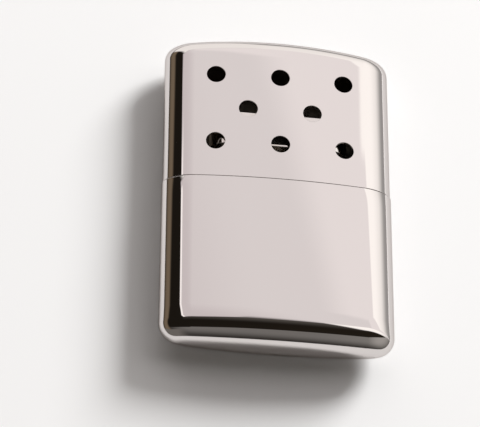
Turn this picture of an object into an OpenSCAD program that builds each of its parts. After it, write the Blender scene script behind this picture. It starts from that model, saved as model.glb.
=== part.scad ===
// Pocket catalytic hand warmer: a drawn fuel tank, a vented lid that lifts off, and a burner on the
// filler neck. It lies on its back. X runs across it, Y from the foot of the tank to the crown of the
// lid, and Z out of the front face. The origin is under the middle, on the surface that it lies on.

/* [Body] */
// Width across the tank
body_w = 66.5; // [60:0.5:74]
// Thickness over the middle of the two faces
body_t = 15.5; // [14:0.25:18]
// Length of the tank from its foot to the seam
tank_len = 50.7; // [44:0.1:64]
// Length of the lid from the seam to its crown
lid_len = 47.8; // [44:0.1:56]
// Radius of the two domed faces, across the width
face_r = 209; // [160:1:400]
// Width of the flat land along the middle of each face
land_w = 12; // [8:0.5:16]
// How far in from the width the rounded sides start
side_roll = 8.5; // [7:0.1:10]
// The same at the two ends, where the sides run out
tip_roll = 2.5; // [1.8:0.1:4]
// Edge rounding from the faces over the crown
crown_roll = 5; // [4:0.1:6]
// Edge rounding from the faces under the foot
foot_roll = 6.4; // [4:0.1:6.8]
// Corner radius of the outline at the crown of the lid
crown_corner = 5.1; // [4:0.1:8]
// Corner radius of the outline at the foot of the tank
foot_corner = 5.9; // [4:0.1:8]
// Radius of the bowed crown
crown_bow = 236; // [150:1:500]
// Radius of the foot, which is nearly straight
foot_bow = 1500; // [500:10:3000]

/* [Tank] */
// Sheet of the tank
tank_wall = 0.5; // [0.4:0.05:0.8]
// Sheet of the shoulder plate that closes the tank
shoulder_wall = 0.5; // [0.4:0.05:0.8]
// Solder gap between the parts of the tank
solder_gap = 0.05; // [0.03:0.01:0.1]
// How far the shoulder plate reaches down into the tank
shoulder_depth = 5; // [3:0.5:8]
// Length of the step between the tail of the shoulder plate and its collar
joggle_len = 1; // [0.6:0.1:1.6]
// Height of the deck over the seam
deck_rise = 5.5; // [4:0.1:6]
// Inside radius along the edge of the deck
deck_roll = 0.6; // [0.4:0.05:0.8]
// Diameter of the beads that grip the lid
bead_d = 3.2; // [2:0.1:4]
// How far the beads stand out of the collar
bead_stand = 0.2; // [0.1:0.02:0.24]
// Distance between the two beads on each face
bead_pitch = 40; // [30:1:46]

/* [Filler neck] */
// Width of the neck
neck_w = 35; // [30:0.1:37]
// Thickness of the neck
neck_t = 6.4; // [6:0.1:8]
// Sheet of the neck
neck_wall = 0.5; // [0.4:0.05:0.6]
// Height of the mouth over the deck
neck_rise = 6.4; // [6:0.1:9]
// Width of the flange under the deck
flange_w = 1.4; // [0.8:0.1:1.6]
// How far the felt stays below the mouth
felt_drop = 4.7; // [4.5:0.1:5]

/* [Lid] */
// Sheet of the lid
lid_wall = 0.45; // [0.35:0.05:0.6]
// How far the lid stands in from the faces of the tank
lid_inset = 0.25; // [0.1:0.05:0.4]
// Gap at the seam with the lid pushed home
seam_gap = 0.2; // [0.1:0.05:0.4]
// Clearance of the lid round the collar
lid_clear = 0.3; // [0.26:0.02:0.5]
// Diameter of the vents
vent_d = 5.4; // [4:0.1:6]
// Distance between vents along a row
vent_pitch = 18.7; // [12:0.1:20]
// Distance between the rows of vents
vent_row_pitch = 11.2; // [8:0.1:12]
// Height of the middle row over the seam
vent_rise = 22.9; // [21:0.1:26]

/* [Burner] */
// Clearance of the burner's skirt round the neck
socket_fit = 0.1; // [0.05:0.01:0.2]
// Gap under the burner with it pushed home
seat_gap = 0.3; // [0.2:0.05:0.5]
// Sheet of the burner's parts
burner_wall = 0.4; // [0.3:0.05:0.5]
// Width of the slits that let the skirt spring
slit_w = 0.8; // [0.6:0.1:1.2]
// Length of the slits
slit_len = 4; // [3:0.1:4.5]
// Width of the housing
housing_w = 40.6; // [40:0.1:44]
// Thickness of the housing
housing_t = 12; // [11.4:0.1:12.2]
// Height of the housing
housing_len = 10.7; // [10:0.1:13]
// Width of the rim turned in over the grille
rim_w = 1.2; // [0.8:0.1:1.6]
// Number of windows in each face of the housing
windows = 3; // [1:3]
// Width of a window
window_w = 8.8; // [6:0.1:9]
// Corner radius of a window
window_corner = 1; // [0.5:0.1:1.5]
// Distance between windows
window_pitch = 10.4; // [10:0.1:11]
// Height of the rail under the windows
rail = 0.5; // [0.45:0.05:1]
// Height of the band over the windows
band = 2.8; // [2.2:0.1:3.5]
// Number of bars in the grille
bars = 6; // [2:6]
// Width of a bar of the grille
bar_w = 1.2; // [0.8:0.1:1.6]
// Distance between bars
bar_pitch = 5.2; // [4:0.1:5.6]
// Diameter of the holes in the vapour plate
jet_d = 1.4; // [1:0.1:1.6]
// Number of holes in a row of the vapour plate
jets = 11; // [5:11]
// Distance between the holes in a row
jet_pitch = 2.6; // [2.2:0.1:2.8]
// Distance between the three rows of holes
jet_row_pitch = 2.1; // [1.8:0.1:2.4]

/* [Hidden] */
$fn = 48;

chrome = "silver";
nickel = "lightgray";
cotton = "ivory";
felt = "beige";
glass_fibre = "dimgray";

// Steps round a side, across half a face and over an end
roll_steps = 7;
face_steps = 3;
end_steps = 7;
// How far a cut runs past what it cuts
past = 1;
// Width of a bead's top over that of its foot
bead_top = 0.6;
// Gap round soft pieces
soft_gap = 0.15;
// Layers of wadding
layers = 3;

// Places along Y
foot_y = -(tank_len + lid_len) / 2;
seam_y = foot_y + tank_len;
crown_y = seam_y + lid_len;
deck_y = seam_y + deck_rise;
mouth_y = deck_y + neck_rise;
deck_under = deck_y - shoulder_wall;
flange_under = deck_under - solder_gap - neck_wall;
vent_y = seam_y + vent_rise;
skirt_foot = deck_y + seat_gap;
skirt_top = mouth_y + seat_gap;
housing_foot = skirt_top - burner_wall;
housing_top = housing_foot + housing_len;
plate_top = skirt_top + burner_wall;
grille_top = housing_top - burner_wall - soft_gap / 2;
grille_foot = grille_top - burner_wall;
window_foot = housing_foot + rail;
window_top = housing_top - band;

// Insets of the walls from the outside of the tank
lid_inner = lid_inset + lid_wall;
collar_inset = lid_inner + lid_clear;
tail_inset = tank_wall + solder_gap;
tail_y = seam_y - shoulder_depth;

// Sections of the burner: its socket, and the space inside the housing
skirt_w = neck_w + 2 * (socket_fit + burner_wall);
skirt_t = neck_t + 2 * (socket_fit + burner_wall);
inside_w = housing_w - 2 * (burner_wall + solder_gap);
inside_t = housing_t - 2 * (burner_wall + solder_gap);

// How far an arc of radius r has dropped at x, counted from the edge of the land
function drop(x, r) = (x * x - pow(land_w / 2, 2)) / (2 * r);
function crown(x, half_t) = half_t - drop(x, face_r);

// A quarter of a section, from its side to the land, as [x, z, how far it belongs to the side]
function quarter(half_w, half_t, roll) = [
    for (i = [0:roll_steps])
        let (t = 90 * i / roll_steps, x = half_w - roll * (1 - cos(t)))
        [x, crown(x, half_t) * sin(t), pow(cos(t), 2)],
    for (i = [1:face_steps])
        let (flat = half_w - roll, x = flat + (land_w / 2 - flat) * i / face_steps)
        [x, crown(x, half_t), 0],
];

// The quarter mirrored into a whole section: from one side over the front and back under the rear
function section(half_w, half_t, roll) =
    let (q = quarter(half_w, half_t, roll), last = len(q) - 1)
    [
        each q,
        for (i = [last:-1:0]) [-q[i].x, q[i].y, q[i].z],
        for (i = [1:last]) [-q[i].x, -q[i].y, q[i].z],
        for (i = [last:-1:1]) [q[i].x, -q[i].y, q[i].z],
    ];

// A flat ring across the body at y, drawn in from the tank's outside by inset
function ring(y, inset) = [
    for (p = section(body_w / 2 - inset, body_t / 2 - inset, side_roll - inset)) [p.x, y, p.y]
];

// Rings over a rounded end, from its tip to the straight walls. The tip is at y and faces dir.
// Corner and edge are its radii at the sides and over the faces, and bow is the radius of its arc.
function end_rings(y, dir, inset, corner, edge, bow) = [
    for (i = [0:end_steps])
        let (
            t = 90 * (1 - i / end_steps),
            in_w = inset + (corner - inset) * (1 - cos(t)),
            in_t = inset + (edge - inset) * (1 - cos(t)),
            roll = side_roll - inset - (side_roll - inset - tip_roll) * (1 - cos(t))
        )
        [
            for (p = section(body_w / 2 - in_w, body_t / 2 - in_t, roll))
                let (back = (edge - inset + (corner - edge) * p.z) * (1 - sin(t)))
                [p.x, y - dir * (back + (bow > 0 ? drop(p.x, bow) : 0)), p.y]
        ]
];

function crown_rings(inset, back) =
    end_rings(crown_y - back, 1, inset, crown_corner, crown_roll, crown_bow);
function foot_rings(inset, back) =
    end_rings(foot_y + back, -1, inset, foot_corner, foot_roll, foot_bow);
function deck_rings(y, inset, roll) = end_rings(y, 1, inset, inset + roll, inset + roll, 0);
function reversed(list) = [for (i = [len(list) - 1:-1:0]) list[i]];

// A solid through rings of equal count, whose outside runs towards +Y. An inside wall runs back
// towards -Y. Each end is closed by strips from front to back.
module loft(rings) {
    n = len(rings[0]);
    last = len(rings) - 1;
    strips = [for (i = [0:n / 2 - 1]) each [[i, n - i - 1, i + 1], [i, (n - i) % n, n - i - 1]]];
    cap = [for (f = strips) if (f[0] != f[1] && f[1] != f[2] && f[2] != f[0]) f];
    wall = [
        for (r = [0:last - 1], i = [0:n - 1])
            let (a = r * n + i, b = r * n + (i + 1) % n)
            each [[a, b, b + n], [a, b + n, a + n]]
    ];
    polyhedron(
        points = [for (r = rings) each r],
        faces = [each cap, each wall, for (f = cap) last * n * [1, 1, 1] + reversed(f)]
    );
}

// The body's parts are drawn about its mid plane and stand up by half its thickness
module lifted() {
    translate([0, 0, body_t / 2]) children();
}

// A flat outline with round ends
module oblong(w, t) {
    square([w - t, t], center = true);
    for (side = [-1, 1]) translate([side * (w - t) / 2, 0]) circle(d = t);
}

// A flat rectangle with round corners
module rounded(w, t, r) {
    square([w, t - 2 * r], center = true);
    square([w - 2 * r, t], center = true);
    for (x = [-1, 1], y = [-1, 1]) translate([x * (w / 2 - r), y * (t / 2 - r)]) circle(r = r);
}

// An outline in X and Z, extruded along Y from y
module along(y, len) {
    translate([0, y, 0]) rotate([-90, 0, 0]) linear_extrude(len) children();
}

module oblong_tube(w, t, wall, y, len) {
    along(y, len) difference() {
        oblong(w, t);
        oblong(w - 2 * wall, t - 2 * wall);
    }
}

module case_shell() {
    color(chrome) lifted() loft([
        each foot_rings(0, 0),
        ring(seam_y, 0),
        ring(seam_y, tank_wall),
        each reversed(foot_rings(tank_wall, tank_wall)),
    ]);
}

module shoulder_plate() {
    joggle_y = seam_y - joggle_len;
    color(nickel) lifted() {
        difference() {
            loft([
                each deck_rings(deck_under, collar_inset + shoulder_wall, deck_roll),
                ring(seam_y - shoulder_wall / 2, collar_inset + shoulder_wall),
                ring(joggle_y, tail_inset + shoulder_wall),
                ring(tail_y, tail_inset + shoulder_wall),
                ring(tail_y, tail_inset),
                ring(joggle_y, tail_inset),
                ring(seam_y, collar_inset),
                each reversed(deck_rings(deck_y, collar_inset, deck_roll + shoulder_wall)),
            ]);
            along(deck_y - past, 2 * past) oblong(neck_w + 2 * solder_gap, neck_t + 2 * solder_gap);
        }
        for (side = [-1, 1], face = [0, 180]) rotate([0, face, 0]) bead(side * bead_pitch / 2);
    }
}

// A bead pressed out of the collar's face at x, square to the dome
module bead(x) {
    bead_y = (seam_y + deck_y - deck_roll) / 2;
    face_z = crown(x, body_t / 2 - collar_inset);
    translate([x, bead_y, face_z]) rotate([0, asin(x / face_r), 0])
        translate([0, 0, -shoulder_wall / 2])
            cylinder(h = shoulder_wall / 2 + bead_stand, d1 = bead_d, d2 = bead_top * bead_d);
}

module filler_neck() {
    rim = 2 * flange_w;
    color(nickel) lifted() {
        oblong_tube(neck_w, neck_t, neck_wall, flange_under, mouth_y - flange_under);
        oblong_tube(neck_w + rim, neck_t + rim, flange_w + neck_wall / 2, flange_under, neck_wall);
    }
}

module mouth_felt() {
    foot = flange_under - soft_gap;
    color(felt) lifted() along(foot, mouth_y - felt_drop - foot)
        oblong(neck_w - 2 * (neck_wall + soft_gap), neck_t - 2 * (neck_wall + soft_gap));
}

// Everything the wadding may fill, up to the flange of the neck
module tank_fill() {
    low = tank_wall + soft_gap;
    high = collar_inset + shoulder_wall + soft_gap;
    loft([
        each foot_rings(low, low),
        ring(tail_y - shoulder_wall - soft_gap, low),
        ring(tail_y - soft_gap, high),
        ring(flange_under - 2 * soft_gap, high),
    ]);
}

// One of three layers of the wadding, counted from the back
module wadding(layer) {
    layer_t = body_t / layers;
    color(cotton) lifted() intersection() {
        tank_fill();
        translate([-body_w / 2, foot_y, (layer - layers / 2) * layer_t + soft_gap / 2])
            cube([body_w, tank_len + deck_rise, layer_t - soft_gap]);
    }
}

module wadding_back() wadding(0);
module wadding_middle() wadding(1);
module wadding_front() wadding(2);

module lid_shell() {
    rows = [[-1, 3], [0, 2], [1, 3]];
    color(chrome) lifted() difference() {
        loft([
            each crown_rings(lid_inner, lid_wall),
            ring(seam_y + seam_gap, lid_inner),
            ring(seam_y + seam_gap, lid_inset),
            each reversed(crown_rings(lid_inset, 0)),
        ]);
        for (row = rows, i = [0:row[1] - 1])
            translate([(i - (row[1] - 1) / 2) * vent_pitch, vent_y + row[0] * vent_row_pitch, 0])
                cylinder(h = body_t + past, d = vent_d, center = true);
    }
}

// A sleeve on the neck, with a flange that carries the plate and the housing
module burner_skirt() {
    color(nickel) lifted() {
        difference() {
            oblong_tube(skirt_w, skirt_t, burner_wall, skirt_foot, skirt_top - skirt_foot);
            for (x = [-1, 1] * (skirt_w - skirt_t) / 2)
                translate([x - slit_w / 2, skirt_foot - past, -skirt_t / 2 - past])
                    cube([slit_w, slit_len + past, skirt_t + 2 * past]);
        }
        along(housing_foot, burner_wall) difference() {
            oblong(inside_w, inside_t);
            oblong(skirt_w - burner_wall, skirt_t - burner_wall);
        }
    }
}

// A plate with rows of holes over the bore of the skirt
module vapour_plate() {
    color(nickel) lifted() along(skirt_top, burner_wall) difference() {
        oblong(inside_w, inside_t);
        for (row = [-1:1], i = [0:jets - 1])
            translate([(i - (jets - 1) / 2) * jet_pitch, row * jet_row_pitch]) circle(d = jet_d);
    }
}

module catalyst_mat() {
    color(glass_fibre) lifted() along(plate_top, grille_foot - plate_top - soft_gap)
        oblong(inside_w - 2 * soft_gap, inside_t - 2 * soft_gap);
}

module burner_housing() {
    window_len = window_top - window_foot;
    color(nickel) lifted() {
        difference() {
            oblong_tube(housing_w, housing_t, burner_wall, housing_foot, housing_len);
            for (i = [0:windows - 1])
                translate([(i - (windows - 1) / 2) * window_pitch, window_foot + window_len / 2, 0])
                    linear_extrude(housing_t + past, center = true)
                        rounded(window_w, window_len, window_corner);
        }
        oblong_tube(housing_w, housing_t, rim_w, housing_top - burner_wall, burner_wall);
    }
}

module burner_grille() {
    color(nickel) lifted() along(grille_foot, burner_wall) {
        difference() {
            oblong(inside_w, inside_t);
            oblong(inside_w - 2 * rim_w, inside_t - 2 * rim_w);
        }
        for (i = [0:bars - 1])
            translate([(i - (bars - 1) / 2) * bar_pitch, 0])
                square([bar_w, inside_t - rim_w], center = true);
    }
}

case_shell();
shoulder_plate();
filler_neck();
mouth_felt();
wadding_front();
wadding_middle();
wadding_back();
lid_shell();
burner_skirt();
vapour_plate();
catalyst_mat();
burner_housing();
burner_grille();
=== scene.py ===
"""Looks of the pocket catalytic hand warmer: chromed shells, nickelled burner, felt, cotton, glass fibre."""

import bpy
import numpy as np
from mathutils import Matrix, Vector


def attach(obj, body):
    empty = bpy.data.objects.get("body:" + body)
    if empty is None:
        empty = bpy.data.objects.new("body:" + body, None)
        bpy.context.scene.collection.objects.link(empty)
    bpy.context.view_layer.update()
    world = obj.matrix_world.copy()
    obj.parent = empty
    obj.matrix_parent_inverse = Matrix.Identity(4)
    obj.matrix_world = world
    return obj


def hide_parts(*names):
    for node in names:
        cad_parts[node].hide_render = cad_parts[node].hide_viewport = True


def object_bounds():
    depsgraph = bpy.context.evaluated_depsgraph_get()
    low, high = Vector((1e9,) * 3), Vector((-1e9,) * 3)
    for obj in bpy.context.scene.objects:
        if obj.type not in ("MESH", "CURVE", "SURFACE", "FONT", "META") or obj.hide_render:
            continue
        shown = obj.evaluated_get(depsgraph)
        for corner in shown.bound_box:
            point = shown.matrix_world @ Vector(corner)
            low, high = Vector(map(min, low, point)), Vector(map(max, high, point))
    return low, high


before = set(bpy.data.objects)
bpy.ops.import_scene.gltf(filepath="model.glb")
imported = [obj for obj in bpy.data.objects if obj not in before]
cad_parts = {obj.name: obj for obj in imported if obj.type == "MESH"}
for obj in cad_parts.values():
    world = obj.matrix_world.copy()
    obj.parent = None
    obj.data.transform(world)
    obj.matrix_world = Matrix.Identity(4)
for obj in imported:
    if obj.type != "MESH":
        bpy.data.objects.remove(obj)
CAD_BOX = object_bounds()

MM = 0.001
QUARTER = np.pi / 2

# ---------------------------------------------------------------- sizes of the warmer, in millimetres
LOW, HIGH = (np.round(np.array(corner) / MM, 3) for corner in CAD_BOX)
WIDTH = HIGH[0] - LOW[0]
THICK = HIGH[2] - LOW[2]
MID = THICK / 2
FOOT, CROWN = LOW[1], HIGH[1]
TANK_LEN = 50.7
SEAM = FOOT + TANK_LEN

# the section of both shells: rolled sides and domed faces
SIDE_ROLL = 8.5
TIP_ROLL = 2.5  # the sides' roll where they run out at the foot and the crown
FACE_X = WIDTH / 2 - SIDE_ROLL
DOME = 222.0
LIP = 0.12  # rounding of a shell's mouth

TANK_WALL = 0.5
FOOT_WALL = FOOT + 6.4  # where the straight walls of the tank's faces begin
FLARE_ZONE = 9.0  # length of closely spaced rings under the seam

LID_INSET = 0.25
LID_WALL = 0.45
LID_MOUTH = SEAM + 0.2
CROWN_WALL = CROWN - 6.85  # the first ring of the lid's straight walls

VENT_R = 2.7
VENT_RIM = 0.14  # rounding of a vent's edge
VENT_PITCH = 18.7
VENT_ROW = 11.2
VENT_Y = SEAM + 22.9
VENT_BLOCK = 24.0  # half the width of the block of vent cells
CELL_CUTS = 8  # quads over half the width of a vent's cell, and over its height

# the shoulder plate, its sides as insets from the body
TAIL = 0.55
TAIL_Y = SEAM - 5
JOGGLE_Y = SEAM - 1
COLLAR = 1.0
COLLAR_WALL = 0.5
DECK = SEAM + 5.5
DECK_ROLL = 1.1
SOLDER = 0.05
BEAD_X, BEAD_Y = 20.0, 3.9
BEAD_R = 1.6
BEAD_H = 0.2

# neck and burner are oblongs: a radius round a flat spine, which is half this long
SPINE = 14.3
NECK = 3.2
NECK_WALL = 0.5
NECK_MOUTH = DECK + 6.4
FLANGE = NECK + 1.4
FLANGE_Y = DECK - 1.05

SHEET = 0.4
SKIRT = NECK + 0.1 + SHEET
SKIRT_FOOT = DECK + 0.3
SKIRT_TOP = NECK_MOUTH + 0.3
SEAT = 5.55  # radius of the skirt's flange, which fits into the housing
SLIT_HALF = 0.4
SLIT_TOP = SKIRT_FOOT + 4

HOUSING = 6.0
HOUSING_FOOT = SKIRT_TOP - SHEET
HOUSING_TOP = HOUSING_FOOT + 10.7
HOUSING_RIM = HOUSING - 1.2
WINDOW_W = 8.8
WINDOW_FOOT = HOUSING_FOOT + 0.5
WINDOW_TOP = WINDOW_FOOT + 7.4
WINDOW_PITCH = 10.4

FELT_R, FELT_FOOT, FELT_TOP = 2.52, 5.8, 8.62
MAT_R, MAT_FOOT, MAT_TOP = 5.36, 14.08, 22.9

# the cotton, in plan and under the tank's walls
WAD_HALF_W = 30.6
WAD_HALF_LEN = 26.6
WAD_Y = -21.4
WAD_INSET = 0.65
WAD_SLACK = 0.1
TAIL_ROOM = 1.0
WAD_LUMP = 0.012  # the lumps' share of a point's distance from the warmer's middle
WAD_LUMP_LEN = 7.0
WAD_SPLIT = 2.7  # the front and back layers begin this far from the mid plane
WAD_CORE = 2.45  # the middle layer ends here
PAST_WALL = 9.0  # a height beyond the wall, where a layer reaches to it

STEP = 2e-4  # step for differences of a surface
NUDGE = 1.5 * STEP  # keeps a step off the section's corners
TOUCH = 1e-6  # slack for columns on a cell's border


class End:
    """A closed end of a shell.

    It has a tip, the way it faces, its rounding at the corners and at the faces' edges, the radius of its
    bow, the roundings' fullness, and the inset at which the shell starts. The walls' roll is wider by flare
    at the seam, and that runs out within reach.
    """

    def __init__(self, tip, faces, corner, edge, bow, full, start, flare=0.0, reach=1.0):
        self.tip, self.faces = tip, faces
        self.corner, self.edge, self.bow, self.full = corner, edge, bow, full
        self.start, self.flare, self.reach = start, flare, reach


CROWN_END = End(tip=CROWN, faces=1, corner=5.1, edge=5.0, bow=244.0, full=2.4, start=LID_INSET)
FOOT_END = End(tip=FOOT, faces=-1, corner=5.9, edge=6.4, bow=1500.0, full=2.0, start=0.0,
               flare=0.7, reach=6.0)


# ---------------------------------------------------------------- surfaces as grids of points
def unit(vectors):
    """The vectors at length 1."""
    return vectors / np.maximum(np.linalg.norm(vectors, axis=-1, keepdims=True), 1e-12)


def slopes(place, u, v):
    """Normals of the surface place(u, v): the cross product of its steps across and along."""
    across = place(u + STEP, v) - place(u - STEP, v)
    along = place(u, v + STEP) - place(u, v - STEP)
    return unit(np.cross(across, along))


def outward(points, normals, centre):
    """The normals, each turned away from the centre."""
    away = ((points - centre) * normals).sum(-1, keepdims=True)
    return np.where(away < 0, -normals, normals)


def soft_normals(points, centre):
    """Normals of a closed lumpy grid whose columns go all the way round, from the points' own differences."""
    across = np.roll(points, -1, 1) - np.roll(points, 1, 1)
    return outward(points, unit(np.cross(across, np.gradient(points, axis=0))), centre)


def lumps(points, length, seed, count=40):
    """A smooth random field: 4 times the mean of sine waves of about the given length, in seeded ways."""
    waves = np.random.default_rng(seed)
    ways = unit(waves.normal(size=(count, 3))) * (2 * np.pi / length) * waves.uniform(0.6, 1.6, (count, 1))
    return np.sin(points @ ways.T + waves.uniform(0, 2 * np.pi, count)).mean(-1) * 4


class Sheet:
    """Grids of points with their normals, gathered into one mesh whose shared points are merged."""

    def __init__(self):
        self.points, self.normals, self.quads, self.marks = [], [], [], []
        self.count = 0

    def grid(self, points, normals, keep=None, mark=0, closed=True):
        """Adds a grid of points as quads that face along the normals.

        keep drops cells, mark is the material slot, and closed joins the last column to the first.
        """
        rows, cols = points.shape[:2]
        row, col = np.indices((rows - 1, cols if closed else cols - 1))
        if keep is not None:
            row, col = row[keep], col[keep]
        row, col = row.ravel(), col.ravel()
        here, after = row * cols + col, row * cols + (col + 1) % cols
        quads = np.stack([here, after, after + cols, here + cols], -1)
        flat, facing = points.reshape(-1, 3), normals.reshape(-1, 3)
        corner = flat[quads]
        turned = np.cross(corner[:, 2] - corner[:, 0], corner[:, 3] - corner[:, 1])
        wrong = (turned * facing[quads].sum(1)).sum(-1) < 0
        quads[wrong] = quads[wrong][:, ::-1]
        self.points.append(flat)
        self.normals.append(facing)
        self.quads.append(quads + self.count)
        self.marks.append(np.full(len(quads), mark))
        self.count += rows * cols

    def rings(self, rings, mark=0):
        """Adds a list of rings, each its points and its normals, as one closed grid."""
        self.grid(np.stack([points for points, _ in rings]), np.stack([way for _, way in rings]), mark=mark)

    def piece(self, name, *finishes):
        """The mesh object, with points on the same 0.1 micrometre merged.

        A quad that loses one side becomes a triangle, and one that loses more is dropped.
        """
        points = np.concatenate(self.points) * MM
        normals, quads, marks = (np.concatenate(part) for part in (self.normals, self.quads, self.marks))
        spots = np.round(points / 1e-7).astype(np.int64)
        _, first, place = np.unique(spots, axis=0, return_index=True, return_inverse=True)
        ring = place.ravel()[quads]
        own = ring != np.roll(ring, 1, 1)
        whole = (own.sum(1) > 2) & (ring[:, 0] != ring[:, 2]) & (ring[:, 1] != ring[:, 3])
        quads, ring, own, marks = quads[whole], ring[whole], own[whole], marks[whole]
        sides = own.sum(1)
        data = bpy.data.meshes.new(name)
        data.vertices.add(len(first))
        data.vertices.foreach_set("co", points[first].ravel())
        data.loops.add(int(sides.sum()))
        data.loops.foreach_set("vertex_index", ring[own])
        data.polygons.add(len(sides))
        data.polygons.foreach_set("loop_start", np.concatenate([[0], np.cumsum(sides)[:-1]]))
        data.polygons.foreach_set("material_index", marks)
        data.update(calc_edges=True)
        data.validate()
        data.normals_split_custom_set(unit(normals[quads[own]]))
        for finish in finishes:
            data.materials.append(finish)
        made = bpy.data.objects.new(name, data)
        bpy.context.scene.collection.objects.link(made)
        return made


def stand_for(piece, node, body):
    """The piece takes the place of a CAD node, on its body and with its finish."""
    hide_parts(node)
    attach(piece, body)


def holed_cell(sheet, xs, ys, reach, rim, wall, place, facing, inner_mark):
    """A rectangle of sheet metal round one hole, between the columns xs and the rows ys.

    Rings run from the border in to the hole's edge at hub + ray * reach(angle), over a rim of the given
    radius, through the wall and back out along the inner face. place gives the point at a spot and a depth,
    and facing the way out of the face there.
    """
    border = np.concatenate([
        np.stack([xs[:-1], np.full(len(xs) - 1, ys[0])], -1),
        np.stack([np.full(len(ys) - 1, xs[-1]), ys[:-1]], -1),
        np.stack([xs[:0:-1], np.full(len(xs) - 1, ys[-1])], -1),
        np.stack([np.full(len(ys) - 1, xs[0]), ys[:0:-1]], -1),
    ])
    hub = np.array([(xs[0] + xs[-1]) / 2, (ys[0] + ys[-1]) / 2])
    angle = np.arctan2(border[:, 1] - hub[1], border[:, 0] - hub[0])
    ray = np.stack([np.cos(angle), np.sin(angle)], -1)
    edge = reach(angle)[:, None]
    inward = np.concatenate([-ray, np.zeros((len(ray), 1))], -1)
    burr = 0.04  # chamfer of the hole's inner edge

    def ring(radius, share, depth, to_hole, to_face):
        """One ring: its points, and normals that mix the way into the hole with the way out of the face."""
        spot = border + (hub + ray * radius - border) * share
        return place(spot, depth), unit(inward * to_hole + facing(spot) * to_face)

    shares = np.linspace(0, 1, 6) ** 0.8
    front = [ring(edge + rim, share, 0.0, 0.0, 1.0) for share in shares]
    for a in np.linspace(0, QUARTER, 5)[1:]:
        front.append(ring(edge + rim * (1 - np.sin(a)), 1, rim * (1 - np.cos(a)), np.sin(a), np.cos(a)))
    front += [ring(edge, 1, wall - burr, 1.0, 0.0), ring(edge + burr, 1, wall, 0.7, -0.7)]
    back = [ring(edge + burr, share, wall, 0.0, -1.0) for share in shares[::-1]]
    sheet.rings(front)
    sheet.rings(back, inner_mark)


# ---------------------------------------------------------------- drawn shells
def section(station, half_w, half_t, roll):
    """x and z of the body's section, and how far a point belongs to its side.

    A side is an elliptic roll, x = w - r(1 - cos t), and a face is a dome. z is (t/2 - x^2 / 2R) sin t for
    both.
    """
    turn = np.clip(station, 0, 1) * QUARTER
    face = (half_w - roll) * (2 - np.clip(station, 1, 2))
    x = np.where(station < 1, half_w - roll * (1 - np.cos(turn)), face)
    return x, (half_t - x * x / (2 * DOME)) * np.sin(turn), np.cos(turn) ** 2


class Round:
    """The stations round the section: the front from right to left, then the back from left to right."""

    def __init__(self, face_columns, roll_cuts):
        roll = np.linspace(0, 1, roll_cuts, endpoint=False)
        quarter = np.concatenate([roll, 2 - face_columns[::-1] / FACE_X])
        n = len(quarter)
        self.station = np.concatenate([quarter, quarter[-2::-1], quarter[1:], quarter[-2:0:-1]])
        self.right = np.concatenate([np.ones(n), -np.ones(2 * n - 2), np.ones(n - 2)])
        self.front = np.concatenate([np.ones(2 * n - 1), -np.ones(2 * n - 3)])

    def solid(self, x, y, z):
        """Points of the body from a quarter's x and z."""
        return np.stack([self.right * x, y + 0 * x, MID + self.front * z], -1)

    def wall(self, station, y, inset, end):
        """The straight walls at y, drawn in by inset. At d from the seam their roll is wider by
        flare(1 - d/reach)^3.
        """
        wider = end.flare * np.clip(1 - np.abs(y - SEAM) / end.reach, 0, 1) ** 3
        x, z, _ = section(station, WIDTH / 2 - inset, THICK / 2 - inset, SIDE_ROLL - inset + wider)
        return self.solid(x, y, z)

    def closed_end(self, station, along, inset, end):
        """A rounded end. along runs over its roll from 0 to 1, and across its flat tip from 1 to 2.

        The roll is a superellipse of fullness n: at turn t it has drawn in by 1 - cos(t)^(2/n) of its
        rounding, and has 1 - sin(t)^(2/n) of it to run to the tip, which is bowed by x^2 / 2R.
        """
        turn = np.clip(along, 0, 1) * QUARTER
        drawn = 1 - np.maximum(np.cos(turn), 0) ** (2 / end.full)
        left = 1 - np.sin(turn) ** (2 / end.full)
        half_w = WIDTH / 2 - inset - (end.corner - inset) * drawn
        half_t = THICK / 2 - inset - (end.edge - inset) * drawn
        roll = SIDE_ROLL - inset - (SIDE_ROLL - inset - TIP_ROLL) * drawn
        x, z, side = section(station, half_w, half_t, roll)
        back = (end.edge - inset + (end.corner - end.edge) * side) * left + x * x / (2 * end.bow)
        y = end.tip - end.faces * (inset - end.start + back)
        return self.solid(x, y, z * np.clip(2 - along, 0, 1))


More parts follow.
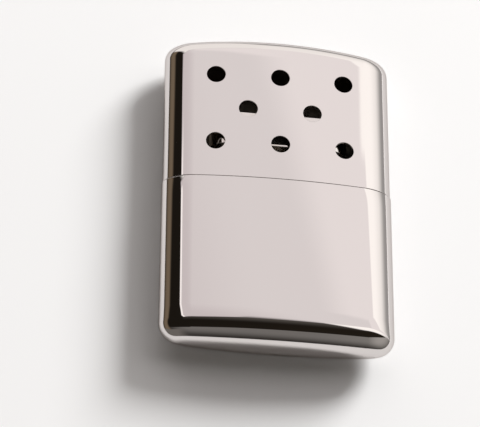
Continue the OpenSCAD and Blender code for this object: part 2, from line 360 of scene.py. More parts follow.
def drawn_shell(end, mouth, wall, rows, columns, block=None):
    """A drawn shell: an outer and an inner skin from the tip to the mouth, joined there by a rounded lip.

    rows are the heights of the straight walls' rings, the last of them at the lip. block drops the cells of
    the faces between two heights, for the vents.
    """
    tip_cuts, edge_cuts, lip_cuts = 4, 22, 4
    well_inside = 12.0  # from the tip to a point that every rounding faces away from
    round_ = Round(columns, roll_cuts=26)
    station = round_.station[None]
    inside = np.clip(station, NUDGE, 2 - NUDGE)
    tip_rings = np.linspace(2, 1, tip_cuts, endpoint=False)
    roll_rings = np.linspace(1, 0, edge_cuts, endpoint=False)
    lids = np.concatenate([tip_rings, roll_rings])[:, None]
    middle = np.array([0, end.tip - end.faces * well_inside, MID])
    sheet = Sheet()
    for inset, mark in ((end.start, 0), (end.start + wall, 1)):
        def cap_at(u, v):
            return round_.closed_end(u, v, inset, end)

        def tube_at(u, v):
            return round_.wall(u, v, inset, end)

        cap = cap_at(station, lids)
        over = cap[..., 0]
        tip_way = unit(np.stack([over / end.bow, np.full_like(over, end.faces), 0 * over], -1))
        roll_way = outward(cap, slopes(cap_at, inside, np.clip(lids, NUDGE, 1 - NUDGE)), middle)
        cap_way = np.where((lids >= 1)[..., None], tip_way, roll_way)
        tube = tube_at(station, rows[:, None])
        spine = np.array([0, 1, 0]) * tube + np.array([0, 0, MID])
        tube_way = outward(tube, slopes(tube_at, inside, rows[:, None]), spine)
        points, ways = np.concatenate([cap, tube]), np.concatenate([cap_way, tube_way])
        keep = np.ones((len(points) - 1, len(station[0])), bool)
        if block:
            centre = (points[:-1] + points[1:]) / 2
            centre = (centre + np.roll(centre, -1, 1)) / 2
            x, y, z = centre[..., 0], centre[..., 1], centre[..., 2]
            keep = ~((np.abs(x) < VENT_BLOCK) & (y > block[0]) & (y < block[1]) & (np.abs(z - MID) > MID / 2))
        sheet.grid(points, -ways if mark else ways, keep, mark)
    arc = np.linspace(0, QUARTER, lip_cuts + 1)
    drawn = LIP * (1 - np.cos(arc))
    insets = np.concatenate([drawn, (wall - drawn)[::-1]])[:, None] + end.start
    drop = np.concatenate([np.sin(arc), np.sin(arc)[::-1]])[:, None]
    side = np.concatenate([np.cos(arc), -np.cos(arc)[::-1]])[:, None, None]
    lip = round_.wall(station, rows[-1], insets, end)
    lip[..., 1] = mouth + end.faces * LIP * (1 - drop)
    sheet.grid(lip, unit(tube_way[-1] * side - np.array([0, end.faces, 0]) * drop[..., None]))
    return sheet


def vent_grid():
    """The columns of half a face and the rows of the lid's front that the cells of the vents share."""
    half = VENT_PITCH / 2
    inner = np.linspace(0, half, CELL_CUTS + 1)[:-1]
    outer = np.linspace(half, 2 * half, CELL_CUTS + 1)[:-1]
    edge = np.linspace(2 * half, VENT_BLOCK, 6)
    return np.concatenate([inner, outer, edge]), VENT_Y + np.linspace(-1.5, 1.5, 3 * CELL_CUTS + 1) * VENT_ROW


def holed_vent(shell, xs, ys, x, place, facing):
    """The cell of one vent. Its hub is at x, which isn't the cell's middle at the end of a row."""
    middle = (xs[0] + xs[-1]) / 2

    def radius(angle):
        """From the cell's middle to the circle about x: the root of the offset circle."""
        shift = (x - middle) * np.cos(angle)
        return shift + np.sqrt(VENT_R ** 2 - (x - middle) ** 2 + shift ** 2)

    holed_cell(shell, xs, ys, radius, VENT_RIM, LID_WALL, place, facing, inner_mark=1)


def lid_shell():
    """The lid, with rows of three, two and three punched vents on its front and on its back."""
    columns, rows = vent_grid()
    below = np.linspace(rows[0], LID_MOUTH + LIP, 16)[1:]
    heights = np.concatenate([[CROWN_WALL], rows[::-1], below])
    block = (rows[0], rows[-1])
    shell = drawn_shell(CROWN_END, LID_MOUTH, LID_WALL, heights, np.append(columns, FACE_X), block)
    across = np.concatenate([-columns[:0:-1], columns])
    places = {3: np.array([-1, 0, 1]) * VENT_PITCH, 2: np.array([-0.5, 0.5]) * VENT_PITCH}
    row_end = 0.9 * VENT_PITCH  # a vent past this ends its row, and its cell reaches the block's edge
    for front in (1, -1):
        def place(spot, depth):
            z = THICK / 2 - LID_INSET - depth - spot[..., 0] ** 2 / (2 * DOME)
            return np.stack([spot[..., 0], spot[..., 1], MID + front * z], -1)

        def facing(spot):
            return unit(np.stack([spot[..., 0] / DOME, 0 * spot[..., 0], front + 0 * spot[..., 0]], -1))

        for row, count in enumerate((3, 2, 3)):
            ys = rows[CELL_CUTS * row:CELL_CUTS * (row + 1) + 1]
            for x in places[count]:
                left = -VENT_BLOCK if x < -row_end else x - VENT_PITCH / 2
                right = VENT_BLOCK if x > row_end else x + VENT_PITCH / 2
                xs = across[(across > left - TOUCH) & (across < right + TOUCH)]
                holed_vent(shell, xs, ys, x, place, facing)
            if count == 2:
                for side in (-1, 1):
                    spot = np.stack(np.meshgrid(across[across * side > VENT_PITCH - TOUCH], ys), -1)
                    shell.grid(place(spot, 0.0), facing(spot), closed=False)
                    shell.grid(place(spot, LID_WALL), -facing(spot), mark=1, closed=False)
    return shell.piece("lid_drawn_shell", CHROME, SHADED_INSIDE)


def case_shell():
    """The tank's drawn shell, closed at the foot and open at the seam."""
    lower = np.linspace(FOOT_WALL, SEAM - FLARE_ZONE, 12)[1:]
    upper = np.linspace(SEAM - FLARE_ZONE, SEAM - LIP, 22)[1:]
    shell = drawn_shell(FOOT_END, SEAM, TANK_WALL, np.concatenate([lower, upper]), np.linspace(0, FACE_X, 22))
    return shell.piece("tank_drawn_shell", CHROME, SHADED_INSIDE)


def bead_height(x, y):
    """How far the collar's beads stand out at x, y: h(1 - d^2)^2 * 1.8, capped at h."""
    near = 1 - ((x - BEAD_X) ** 2 + (y - BEAD_Y) ** 2) / BEAD_R ** 2
    return BEAD_H * np.clip(1.8 * np.clip(near, 0, 1) ** 2, 0, 1)


def shoulder_plate():
    """The pressed plate that closes the tank: a tail inside it, a step out to the collar, and a deck.

    A ring is (1 - s) * section + s * hole, where the hole is the neck's oblong: its round ends match the
    section's sides, and its flats match the faces. The outer side carries the four beads.
    """
    chamfer = 0.1
    over_beads = np.linspace(BEAD_X - 2, BEAD_X + 2, 17)
    round_ = Round(np.unique(np.concatenate([np.linspace(0, 17, 9), over_beads, [FACE_X]])), roll_cuts=12)
    station = round_.station
    turn = np.clip(station, 0, 1) * QUARTER

    def collar_at(u, v):
        """The collar's wall, which has the lid's section and, as the lid, no flare."""
        return round_.wall(u, v, COLLAR, CROWN_END)

    collar_way = slopes(collar_at, np.clip(station, NUDGE, 2 - NUDGE), np.zeros(1))
    collar_way = outward(collar_at(station, 0.0), collar_way, np.array([0, 0, MID]))

    def ring(inset, y, share, side, up):
        """One ring at y, with its normals from a part to the side and a part upwards."""
        x, z, _ = section(station, WIDTH / 2 - inset, THICK / 2 - inset, SIDE_ROLL - inset)
        hole = NECK + SOLDER
        across = SPINE * np.clip(2 - station, 0, 1) + hole * np.cos(turn)
        x, z = x + (across - x) * share, z + (hole * np.sin(turn) - z) * share
        way = collar_way * side + np.array([0, up, 0])
        if side > 0 and share == 0:
            step = 0.01
            tilt_x = bead_height(x + step, y) - bead_height(x - step, y)
            tilt_y = bead_height(x, y + step) - bead_height(x, y - step)
            z = z + bead_height(x, y)
            way = way - np.stack([round_.right * tilt_x, tilt_y, 0 * x], -1) / (2 * step)
        return round_.solid(x, y, z), unit(way)

    arc = np.linspace(0, QUARTER, 7)
    rolled = COLLAR + DECK_ROLL
    ceiling = DECK - COLLAR_WALL
    outer = [(TAIL, TAIL_Y + chamfer, 0, 1, 0), (TAIL, JOGGLE_Y - 0.3, 0, 1, 0)]
    outer += [(TAIL + 0.01, JOGGLE_Y, 0, 1, 0.2), (COLLAR - 0.01, SEAM, 0, 1, 0.2)]
    outer += [(COLLAR, y, 0, 1, 0) for y in np.linspace(SEAM + 0.3, DECK - DECK_ROLL, 17)]
    for out, up in zip(np.cos(arc[1:]), np.sin(arc[1:])):
        outer.append((rolled - DECK_ROLL * out, DECK - DECK_ROLL * (1 - up), 0, out, up))
    outer += [(rolled, DECK, share, 0, 1) for share in (0.25, 0.5, 0.75, 0.97, 1.0)]
    outer += [(rolled, DECK, 1, -1, 0), (rolled, ceiling, 1, -1, 0)]
    inner = [(rolled, ceiling, share, 0, -1) for share in (1.0, 0.75, 0.5, 0.25, 0.0)]
    under = DECK_ROLL - COLLAR_WALL
    for out, up in zip(np.cos(arc[::-1]), np.sin(arc[::-1])):
        inner.append((rolled - under * out, DECK - DECK_ROLL + under * up, 0, -out, -up))
    inner += [(COLLAR + COLLAR_WALL, SEAM, 0, -1, 0), (TAIL + COLLAR_WALL, JOGGLE_Y, 0, -1, 0)]
    inner += [(TAIL + COLLAR_WALL, TAIL_Y + chamfer, 0, -1, 0)]
    inner += [(TAIL + COLLAR_WALL - chamfer, TAIL_Y, 0, -0.7, -0.7), (TAIL + chamfer, TAIL_Y, 0, 0.7, -0.7)]
    inner += [(TAIL, TAIL_Y + chamfer, 0, 1, 0)]
    sheet = Sheet()
    sheet.rings([ring(*row) for row in outer + inner])
    return sheet.piece("shoulder_pressing", NICKEL)


# ---------------------------------------------------------------- neck and burner, swept round an oblong
class Oblong:
    """The columns round a flat outline with round ends, given by the outer x of each column on a radius."""

    def __init__(self, outer_x, radius):
        front = np.concatenate([outer_x[::-1], outer_x[1:]])
        mirror = np.concatenate([np.ones(len(outer_x)), -np.ones(len(outer_x) - 1)])
        self.x = np.concatenate([front * mirror, (front * mirror)[-2:0:-1]])
        self.front = np.concatenate([np.ones(len(front)), -np.ones(len(front) - 2)])
        self.spine = np.clip(self.x, -SPINE, SPINE)
        self.way_x = np.clip((self.x - self.spine) / radius, -1, 1)
        self.way_z = self.front * np.sqrt(1 - self.way_x ** 2)

    def sweep(self, profile):
        """Points and normals of a profile carried round the outline. Its rows are (radius, y, out, up)."""
        radius, y, out, up = (np.asarray(part)[:, None] for part in zip(*profile))
        flat = 0 * self.spine
        points = np.stack([self.spine + radius * self.way_x, y + flat, MID + radius * self.way_z], -1)
        return points, unit(np.stack([out * self.way_x, up + flat, out * self.way_z], -1))


def end_columns(radius, cuts):
    """Columns from the end of the spine round to the side, even in angle."""
    return SPINE + radius * np.sin(np.linspace(0, QUARTER, cuts + 1)[1:])


def rounded_loop(corners, cuts=4):
    """A closed profile through corners (radius, y, rounding), run with its material on the left.

    Each corner is an arc that touches both its edges, from rounding * tan of half the turn before the corner.
    """
    spots = np.array([corner[:2] for corner in corners], float)
    rows = []
    for i, (_, _, rounding) in enumerate(corners):
        spot = spots[i]
        before, after = unit(spot - spots[i - 1]), unit(spots[(i + 1) % len(spots)] - spot)
        turn = np.arctan2(before[0] * after[1] - before[1] * after[0], before @ after)
        start = np.arctan2(-before[0], before[1])
        if rounding == 0:
            rows.append((spot[0], spot[1], np.cos(start), np.sin(start)))
            continue
        hand = np.sign(turn)
        side = hand * np.array([before[1], -before[0]])
        centre = spot - rounding * (before * np.tan(abs(turn) / 2) + side)
        for angle in start + turn * np.linspace(0, 1, cuts + 1):
            way = np.array([np.cos(angle), np.sin(angle)])
            rows.append((*(centre + hand * rounding * way), *way))
    return rows + rows[:1]


def filler_neck():
    """The drawn neck: an oblong tube with a rounded mouth, and a flange under the deck."""
    inner = NECK - NECK_WALL
    flange_top = FLANGE_Y + NECK_WALL
    loop = rounded_loop([
        (FLANGE, FLANGE_Y, 0.1), (FLANGE, flange_top, 0.15), (NECK, flange_top, 0.2),
        (NECK, NECK_MOUTH, 0.22), (inner, NECK_MOUTH, 0.22), (inner, FLANGE_Y, 0.1),
    ])
    ring = Oblong(np.concatenate([np.linspace(0, SPINE, 6), end_columns(NECK, 16)]), NECK)
    sheet = Sheet()
    sheet.grid(*ring.sweep(loop))
    return sheet.piece("filler_neck_drawn", NICKEL)


def burner_skirt():
    """The burner's sleeve, slit at four corners so that it springs, and its flange in the housing's foot."""
    inner = SKIRT - SHEET
    seat_y = SKIRT_TOP - SHEET
    loop = rounded_loop([
        (SKIRT, SLIT_TOP, 0), (SKIRT, seat_y, 0.2), (SEAT, seat_y, 0.12), (SEAT, SKIRT_TOP, 0.12),
        (inner, SKIRT_TOP, 0.1), (inner, SLIT_TOP, 0), (inner, SKIRT_FOOT, 0.15), (SKIRT, SKIRT_FOOT, 0.15),
    ])
    slit = np.array([SPINE - SLIT_HALF, SPINE, SPINE + SLIT_HALF])
    columns = np.concatenate([np.linspace(0, SPINE - SLIT_HALF, 7), slit, end_columns(SKIRT, 16)[2:]])
    ring = Oblong(np.unique(columns), SKIRT)
    points, ways = ring.sweep(loop)
    top = next(i for i, row in enumerate(loop) if row[0] == inner and row[1] == SLIT_TOP)
    middle = (ring.x + np.roll(ring.x, -1)) / 2
    cut = (np.abs(np.abs(middle) - SPINE) < SLIT_HALF) & (ring.front == np.roll(ring.front, -1))
    keep = np.ones((len(loop) - 1, len(ring.x)), bool)
    keep[top:, cut] = False
    sheet = Sheet()
    sheet.grid(points, ways, keep)
    for i in np.flatnonzero(cut):  # the closed end of each slit
        pair = [i, (i + 1) % len(ring.x)]
        sheet.grid(points[[top, -1]][:, pair], np.full((2, 2, 3), [0.0, -1.0, 0.0]), closed=False)
    for i in np.flatnonzero(cut != np.roll(cut, 1)):  # the two sides of each slit
        edge = points[top:, i]
        half = len(edge) // 2
        wall = np.stack([edge[:half], edge[::-1][:half]], 1)
        way = np.array([1.0 if cut[i] == (ring.front[i] < 0) else -1.0, 0.0, 0.0])
        sheet.grid(wall, np.broadcast_to(way, wall.shape), closed=False)
    return sheet.piece("burner_sleeve", NICKEL)


def window_reach(angle):
    """A superellipse of power 10 as wide and high as a window, whose corners round by about a millimetre."""
    wide = np.abs(np.cos(angle)) / (WINDOW_W / 2)
    high = np.abs(np.sin(angle)) / ((WINDOW_TOP - WINDOW_FOOT) / 2)
    return (wide ** 10 + high ** 10) ** -0.1


def burner_housing():
    """The housing over the catalyst: three windows in each face, and a rim rolled in over the grille."""
    inner = HOUSING - SHEET
    ceiling = HOUSING_TOP - SHEET
    rows = np.linspace(WINDOW_FOOT - 0.3, WINDOW_TOP + 0.5, 17)
    half = WINDOW_PITCH / 2
    block = 3 * half
    face = np.concatenate([np.linspace(0, half, 9)[:-1], np.linspace(half, block, 17)])
    loop = rounded_loop([
        (HOUSING, HOUSING_FOOT, 0.1), *[(HOUSING, y, 0) for y in rows],
        (HOUSING, HOUSING_TOP, 0.35), (HOUSING_RIM, HOUSING_TOP, 0.12), (HOUSING_RIM, ceiling, 0.12),
        (inner, ceiling, 0.15), *[(inner, y, 0) for y in rows[::-1]], (inner, HOUSING_FOOT, 0.1),
    ])
    ring = Oblong(np.concatenate([face, end_columns(HOUSING, 20)[3:]]), HOUSING)
    points, ways = ring.sweep(loop)
    radius, level = ((np.array(part[:-1]) + np.array(part[1:])) / 2 for part in list(zip(*loop))[:2])
    walls = (level > rows[0]) & (level < rows[-1]) & (radius > inner - 0.01)
    middle = (ring.x + np.roll(ring.x, -1)) / 2
    sheet = Sheet()
    sheet.grid(points, ways, ~(walls[:, None] & (np.abs(middle) < block)[None]))
    across = np.concatenate([-face[:0:-1], face])
    for front in (1, -1):
        def facing(spot):
            tilt = (spot[..., 0] - np.clip(spot[..., 0], -SPINE, SPINE)) / HOUSING
            return np.stack([tilt, 0 * tilt, front * np.sqrt(1 - tilt ** 2)], -1)

        def place(spot, depth):
            base = np.stack([np.clip(spot[..., 0], -SPINE, SPINE), spot[..., 1], MID + 0 * spot[..., 0]], -1)
            return base + facing(spot) * (HOUSING - depth)

        for i in (-1, 0, 1):
            xs = across[np.abs(across - i * WINDOW_PITCH) < half + TOUCH]
            holed_cell(sheet, xs, rows, window_reach, 0.12, SHEET, place, facing, inner_mark=0)
    return sheet.piece("burner_housing_pressing", BRIGHT)


# ---------------------------------------------------------------- felt, glass fibre and cotton
def oblong_pad(name, radius, low, high, bulge, nap, length, seed, finish):
    """A pad with an oblong outline: its side bulges, its edges are round and its two ends are flat.

    At turn t from the foot to the top its radius is R cos(t)^(1/4) (1 - bulge sin(t)^2), then it closes on
    the spine. Lumps of the given length and nap height go on along its normals.
    """
    ring = Oblong(np.concatenate([np.linspace(0, SPINE, 48), end_columns(radius, 14)]), radius)
    turn = np.linspace(-QUARTER, QUARTER, 66)
    wide = np.abs(np.cos(turn)) ** 0.25 * radius
    y = (low + high) / 2 + (high - low) / 2 * np.sign(turn) * np.abs(np.sin(turn)) ** 0.25
    shrink = 1 - bulge * np.sin(turn) ** 2
    fill = np.linspace(0, 1, 12, endpoint=False)
    rows = [(share * wide[1] * shrink[0], low, 0, -1) for share in fill]
    rows += [(wide[i] * shrink[i], y[i], np.cos(turn[i]), np.sin(turn[i])) for i in range(1, len(turn) - 1)]
    rows += [(share * wide[-2] * shrink[-1], high, 0, 1) for share in fill[::-1]]
    points, ways = ring.sweep(rows)
    points = points + ways * (nap * (lumps(points, length, seed) - 0.9))[..., None]
    points[[0, -1], :, 2] = MID
    sheet = Sheet()
    level = np.full_like(ring.spine, (low + high) / 2)
    sheet.grid(points, soft_normals(points, np.stack([ring.spine, level, MID + 0 * ring.spine], -1)))
    return sheet.piece(name, finish)


def wadding(name, low, high, seed):
    """A layer of cotton in the tank, between two heights over the mid plane or up to the tank's wall.

    Its plan is |x/a|^6 + |y/b|^6 = r^6 and its depth low + (top - low)(1 + q) / 2, where q = sin t and
    r = cos(t)^0.4. The tank's wall is (t/2 - x^2 / 2R) sin t less the roll of the foot, and less the tail's
    room beside the shoulder plate. Lumps draw its points in towards the warmer's middle.
    """
    angle = np.linspace(0, 2 * np.pi, 120, endpoint=False)[None]
    turn = np.linspace(-QUARTER, QUARTER, 40)[:, None]
    plan = (np.abs(np.cos(angle)) ** 6 + np.abs(np.sin(angle)) ** 6) ** (-1 / 6)
    spread = plan * np.maximum(np.cos(turn), 0) ** 0.4
    x, y = WAD_HALF_W * spread * np.cos(angle), WAD_Y + WAD_HALF_LEN * spread * np.sin(angle)
    deep = THICK / 2 - WAD_INSET - WAD_SLACK
    foot_roll = FOOT_END.edge - WAD_INSET
    side = np.arccos(np.clip(1 - (WIDTH / 2 - WAD_INSET - np.abs(x)) / (SIDE_ROLL - WAD_INSET), 0, 1))
    near = np.clip(1 - (y - FOOT - WAD_INSET) / foot_roll, 0, 1)
    under = foot_roll * (1 - np.sqrt(1 - near ** 2)) + TAIL_ROOM * (y > TAIL_Y - 1)
    wall = (deep - under - x * x / (2 * DOME)) * np.sin(side)
    top = np.minimum(wall, high) if high > 0 else np.full_like(wall, high)
    floor = np.full_like(wall, low) if low > -PAST_WALL else -wall
    z = floor + (top - floor) * (1 + np.sin(turn)) / 2
    points = np.stack([x, y + 0 * z, z], -1)
    shrink = 1 - WAD_LUMP * (1 + lumps(points, WAD_LUMP_LEN, seed))
    points = points * shrink[..., None] + np.array([0, 0, MID])
    sheet = Sheet()
    centre = np.array([0, WAD_Y, MID + (max(low, -deep) + min(high, deep)) / 2])
    sheet.grid(points, soft_normals(points, centre))
    return sheet.piece(name, COTTON)


# ---------------------------------------------------------------- materials
def linear(hex_colour):
    """An sRGB hex colour such as #c8c0bb as linear values."""
    value = int(hex_colour.lstrip("#"), 16)
    rgb = [((value >> s) & 255) / 255 for s in (16, 8, 0)]
    return tuple(c / 12.92 if c <= 0.04045 else ((c + 0.055) / 1.055) ** 2.4 for c in rgb) + (1.0,)


def add(tree, kind, settings=None, **inputs):
    """Adds a node, sets its properties, and fills its sockets with values or links.

    In_0 names a socket by its place.
    """
    node = tree.nodes.new(kind)
    for name, value in (settings or {}).items():
        setattr(node, name, value)
    for name, value in inputs.items():
        socket = node.inputs[int(name[3:])] if name.startswith("In_") else node.inputs[name.replace("_", " ")]
        if isinstance(value, bpy.types.NodeSocket):
            tree.links.new(value, socket)
        else:
            socket.default_value = value
    return node


def spread_over(tree, value, low, high, to_low=0.0, to_high=1.0):
    """The value's range from low to high, spread from to_low to to_high and held at its ends."""
    spread = add(tree, "ShaderNodeMapRange", Value=value, In_1=low, In_2=high, In_3=to_low, In_4=to_high)
    return spread.outputs[0]


def material(name):
    """An empty node material, and where a point lies on its piece, in metres."""
    made = bpy.data.materials.new(name)
    made.use_nodes = True
    made.node_tree.nodes.clear()
    return made, made.node_tree, add(made.node_tree, "ShaderNodeTexCoord").outputs["Object"]


def surface(tree, shader):
    """Makes the shader the tree's surface."""
    add(tree, "ShaderNodeOutputMaterial", Surface=shader.outputs[0])


def polished_chrome():
    """Chromium plated over buffed brass: a near mirror that shows the room, with a haze from the buffing."""
    made, tree, where = material("polished_chromium_plate")
    haze = add(tree, "ShaderNodeTexNoise", Vector=where, Scale=90.0, Detail=3.0, Roughness=0.55)
    rough = spread_over(tree, haze.outputs["Fac"], 0.35, 0.75, 0.02, 0.036)
    surface(tree, add(tree, "ShaderNodeBsdfPrincipled", Base_Color=linear("#dbd6d4"), Metallic=1.0,
                      Roughness=rough, Specular_Tint=linear("#cfcbc9")))
    return made


def shaded_drawn_inside():
    """The plated inside of a drawn shell, given a dull grey darker than the plating as painted shade, with
    stains.
    """
    made, tree, where = material("painted_shade_inside_of_drawn_shell")
    stain = add(tree, "ShaderNodeTexNoise", Vector=where, Scale=160.0, Detail=4.0)
    # painted shade: two dull grey tones, darker than the plating, mixed by the stain noise
    tone = add(tree, "ShaderNodeMixRGB", Fac=stain.outputs["Fac"], Color1=linear("#8a8178"),
               Color2=linear("#a99c8c"))
    surface(tree, add(tree, "ShaderNodeBsdfPrincipled", Base_Color=tone.outputs[0], Metallic=0.3,
                      Roughness=0.5))
    return made


def nickel(name, clean, stained, rough_low, rough_high):
    """Nickel plated over pressed brass: a soft grey sheen with the sheet's fine grain and faint stains."""
    made, tree, where = material(name)
    grain = add(tree, "ShaderNodeTexNoise", Vector=where, Scale=900.0, Detail=3.0)
    stain = add(tree, "ShaderNodeTexNoise", Vector=where, Scale=110.0, Detail=3.0, Roughness=0.6)
    share = spread_over(tree, stain.outputs["Fac"], 0.45, 0.75)
    tone = add(tree, "ShaderNodeMixRGB", Fac=share, Color1=linear(clean), Color2=linear(stained))
    rough = spread_over(tree, grain.outputs["Fac"], 0.3, 0.7, rough_low, rough_high)
    surface(tree, add(tree, "ShaderNodeBsdfPrincipled", Base_Color=tone.outputs[0], Metallic=1.0,
                      Roughness=rough))
    return made


def fibres(name, light, dark, scale, nap):
    """Matted fibres, light strands over gaps darkened as painted shade, with a raised nap in mm. scale is
    strands to the metre.
    """
    made, tree, where = material(name)
    bend = add(tree, "ShaderNodeTexNoise", Vector=where, Scale=scale / 5, Detail=2.0)
    bent = add(tree, "ShaderNodeVectorMath", {"operation": "MULTIPLY_ADD"}, In_0=bend.outputs["Color"],
               In_1=(4 / scale, 12 / scale, 4 / scale), In_2=where)
    strand = add(tree, "ShaderNodeTexNoise", Vector=bent.outputs[0], Scale=scale, Detail=5.0, Roughness=0.75)
    # painted shade: this one share both lowers the bump and darkens the tone, into the gaps between strands
    share = spread_over(tree, strand.outputs["Fac"], 0.32, 0.68)
    tone = add(tree, "ShaderNodeMixRGB", Fac=share, Color1=linear(dark), Color2=linear(light))
    bump = add(tree, "ShaderNodeBump", Height=share, Strength=0.8, Distance=nap * MM)
    surface(tree, add(tree, "ShaderNodeBsdfPrincipled", Base_Color=tone.outputs[0], Roughness=0.95,
                      Normal=bump.outputs[0], Sheen_Weight=0.25, Sheen_Roughness=0.6))
    return made


CHROME, SHADED_INSIDE = polished_chrome(), shaded_drawn_inside()
NICKEL = nickel("satin_nickel_plate", "#cfcac3", "#beb29f", 0.16, 0.26)
BRIGHT = nickel("bright_nickel_plate", "#dcd7d4", "#d3cabf", 0.05, 0.09)
FELT = fibres("pressed_wool_felt", "#e9e2d0", "#b9ad92", 1400.0, 0.15)
COTTON = fibres("cotton_wadding", "#f4f1e8", "#d2cbbc", 700.0, 0.3)
# painted shade: the catalyst wool's tones are far darker than its own grey fibre, so that it reads dark
# through the vents
SHADED_GLASS = fibres("platinised_glass_fibre_in_painted_shade", "#4a443e", "#0e0c0a", 1500.0, 0.2)

# ---------------------------------------------------------------- pieces
stand_for(case_shell(), "case_shell", "tank")
stand_for(lid_shell(), "lid_shell", "lid")
stand_for(shoulder_plate(), "shoulder_plate", "tank")
stand_for(filler_neck(), "filler_neck", "tank")
stand_for(burner_skirt(), "burner_skirt", "burner")
stand_for(burner_housing(), "burner_housing", "burner")
for node in ("vapour_plate", "burner_grille"):
    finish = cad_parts[node].data.materials
    finish.clear()
    finish.append(NICKEL)

felt = oblong_pad("mouth_felt_pad", FELT_R, FELT_FOOT, FELT_TOP, bulge=0.04, nap=0.05, length=1.2, seed=3,
                  finish=FELT)
stand_for(felt, "mouth_felt", "tank")
mat = oblong_pad("catalyst_wool", MAT_R, MAT_FOOT, MAT_TOP, bulge=0.03, nap=0.08, length=1.4, seed=5,
                 finish=SHADED_GLASS)
stand_for(mat, "catalyst_mat", "burner")
LAYERS = (("front", WAD_SPLIT, PAST_WALL, 11), ("middle", -WAD_CORE, WAD_CORE, 12),
          ("back", -PAST_WALL, -WAD_SPLIT, 13))
for place, low, high, seed in LAYERS:
    layer = wadding("cotton_" + place, low, high, seed)
    stand_for(layer, "wadding_" + place, "tank")


# ---------------------------------------------------------------- floor, light and camera
def pale_floor():
    """A plain pale floor that the warmer lies on."""
    data = bpy.data.meshes.new("floor")
    half = 3.0
    corners = [(-half, -half, 0), (half, -half, 0), (half, half, 0), (-half, half, 0)]
    data.from_pydata(corners, [], [(0, 1, 2, 3)])
    floor = bpy.data.objects.new("floor", data)
    bpy.context.scene.collection.objects.link(floor)
    made, tree, _ = material("matt_pale_floor")
    surface(tree, add(tree, "ShaderNodeBsdfDiffuse", Color=linear("#f0f0f0")))
    data.materials.append(made)


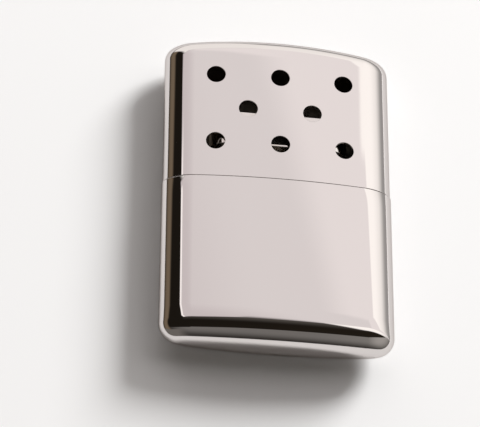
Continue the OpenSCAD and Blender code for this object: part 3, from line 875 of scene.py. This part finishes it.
def studio():
    """The room that the polished metal shows: a panel overhead and behind, walls, and a dark room elsewhere.

    Each wall is a colour laid over what is behind it, in the directions on the far side of some planes. A
    plane is its normal, and where its soft edge starts and ends along the normal. The camera sees white
    instead.
    """
    world = bpy.data.worlds.new("studio")
    bpy.context.scene.world = world
    world.use_nodes = True
    tree = world.node_tree
    tree.nodes.clear()
    way = add(tree, "ShaderNodeTexCoord").outputs["Generated"]

    def side(normal, low, high):
        """1 where the direction looked in is on the far side of a plane, 0 on the near side."""
        dot = add(tree, "ShaderNodeVectorMath", {"operation": "DOT_PRODUCT"}, In_0=way, In_1=normal)
        edge = add(tree, "ShaderNodeMapRange", {"interpolation_type": "SMOOTHSTEP"},
                   Value=dot.outputs["Value"], In_1=low, In_2=high, In_3=0.0, In_4=1.0)
        return edge.outputs[0]

    def mix(below, mask, colour):
        """colour over below where mask is 1."""
        return add(tree, "ShaderNodeMixRGB", Fac=mask, Color1=below, Color2=colour).outputs[0]

    def lay(below, colour, *planes):
        """colour laid over below on the far side of all the planes."""
        mask, *others = [side(*plane) for plane in planes]
        for other in others:
            mask = add(tree, "ShaderNodeMath", {"operation": "MULTIPLY"}, In_0=mask, In_1=other).outputs[0]
        return mix(below, mask, colour)

    def grey(level, warm=0.0):
        """A level of light, a little warmer where warm is over 0."""
        return (level * (1 + warm), level, level * (1 - warm), 1.0)

    # the dark room, a little lighter to the right and before, and more so behind
    light = lay(grey(0.011, 0.25), grey(0.016, 0.3), ((1, -0.4, 0), -0.2, 0.8))
    light = lay(light, grey(0.10, 0.1), ((0, 1, 0), -0.12, 0.4), ((1, 0, 0.45), -0.15, 0.1))
    # wall before the warmer, brighter towards its top and to the right
    front = lay(grey(0.20, 0.05), grey(0.42, 0.05), ((1, 0, 0), 0.2, 0.8))
    front = lay(grey(0.04, 0.1), front, ((0.3, 0, 1), 0.05, 0.7))
    light = lay(light, front, ((0.27, -1, -0.715), -0.01, 0.03), ((0.9, -1, -0.74), -0.02, 0.03))
    light = lay(light, front, ((0, -1, -0.92), -0.02, 0.03))
    # low brown wall on the left, lighter and more yellow towards its top
    tan = lay(grey(0.05, 0.2), grey(0.155, 0.32), ((0, 0, 1), -0.02, 0.22))
    light = lay(light, tan, ((-1, 0, -0.5), 0.0, 0.1), ((0, 0, -1), -0.42, -0.30),
                ((-0.18, 1, 1.09), -0.06, 0.0))
    # grey wall on the left, lower and nearer than the brown one
    light = lay(light, grey(0.17, 0.08), ((-1, 0, -0.5), -0.1, 0.3), ((0.18, -1, -1.09), 0.0, 0.06))
    # bright wall behind and to the right, brighter the higher it is, and most so to the right
    wall = lay(grey(0.41, 0.02), grey(1.14, 0.03), ((0, 0, 1), 0.13, 0.44))
    wall = lay(wall, grey(1.34, 0.03), ((0, 0, 1), 0.36, 0.64), ((1, -0.6, 0), -0.25, 0.06))
    light = lay(light, wall, ((1, 0.94, 0), -0.12, 0.22), ((2.6, 1, -1.11), -0.06, 0.06),
                ((0, 1, -0.05), -0.03, 0.03))
    # the left end of the bright wall, beyond the panel
    light = lay(light, grey(1.10, 0.03), ((0, 1, -0.87), -0.03, 0.015), ((1, 0.92, 0), -0.05, 0.08),
                ((-1, 0, 0), -0.12, -0.05), ((0, 0, 1), 0.0, 0.12))
    # the panel: darker to the left and near, brighter to the far right, with a bright strip at its left edge
    panel = lay((0.95, 0.90, 0.90, 1), (0.78, 0.715, 0.725, 1), ((-1, -1.2, 0.75), 0.0, 0.42))
    panel = lay(panel, (1.085, 1.025, 1.02, 1), ((1, 2, -1.43), -0.07, 0.07))
    panel = lay(panel, (1.33, 1.27, 1.25, 1), ((-1, -0.6, -0.28), -0.012, 0.012),
                ((0, -1, 0.77), -0.01, 0.03))
    panel_left = ((1, 0.6, 0.366), -0.01, 0.01)
    light = lay(light, panel, panel_left, ((0, 1, -0.355), -0.02, 0.02), ((0, -1, 0.87), -0.015, 0.03))
    # the panel's near left corner, which reaches further forward
    light = lay(light, panel, panel_left, ((0, 1, -0.21), -0.02, 0.02), ((-1, 1, -0.31), -0.02, 0.02),
                ((0, -1, 0.4), -0.02, 0.02))
    # the bright wall again, where it stands before the panel's far right corner
    light = lay(light, wall, ((1, 0, -0.435), -0.006, 0.006), ((0, 1, -0.65), -0.006, 0.006))

    path = add(tree, "ShaderNodeLightPath")
    seen = mix(light, path.outputs["Is Camera Ray"], (1.0, 1.0, 1.0, 1))
    glow = add(tree, "ShaderNodeBackground", Color=seen, Strength=1.0)
    add(tree, "ShaderNodeOutputWorld", Surface=glow.outputs[0])


def soft_box():
    """A round lamp behind and to the right, which lights the floor and stays out of the reflections."""
    data = bpy.data.lights.new("soft_box", "AREA")
    data.shape = "DISK"
    data.size = 1.4
    data.energy = 175.0
    lamp = bpy.data.objects.new("soft_box", data)
    spot = Vector((2.0, 2.3, 1.5))
    lamp.matrix_world = Matrix.Translation(spot) @ spot.to_track_quat("Z", "Y").to_matrix().to_4x4()
    lamp.visible_glossy = False
    bpy.context.scene.collection.objects.link(lamp)


def camera():
    """The photograph's viewpoint, a long lens that looks down along the warmer from its lower left."""
    data = bpy.data.cameras.new("camera")
    data.lens, data.sensor_width = 195.0, 36.0
    data.clip_start, data.clip_end = 0.05, 20.0
    eye = Vector((-0.103557, -0.369682, 0.644558))
    ahead = Vector((0.12586, 0.49159, -0.86168)).normalized()
    roughly_up = Vector((-0.07657, 0.87081, 0.48562))
    right = ahead.cross(roughly_up).normalized()
    turn = Matrix((right, right.cross(ahead), -ahead)).transposed().to_4x4()
    made = bpy.data.objects.new("camera", data)
    made.matrix_world = Matrix.Translation(eye) @ turn
    bpy.context.scene.collection.objects.link(made)
    bpy.context.scene.camera = made


pale_floor()
studio()
soft_box()
camera()
bpy.context.scene.view_settings.view_transform = "Standard"
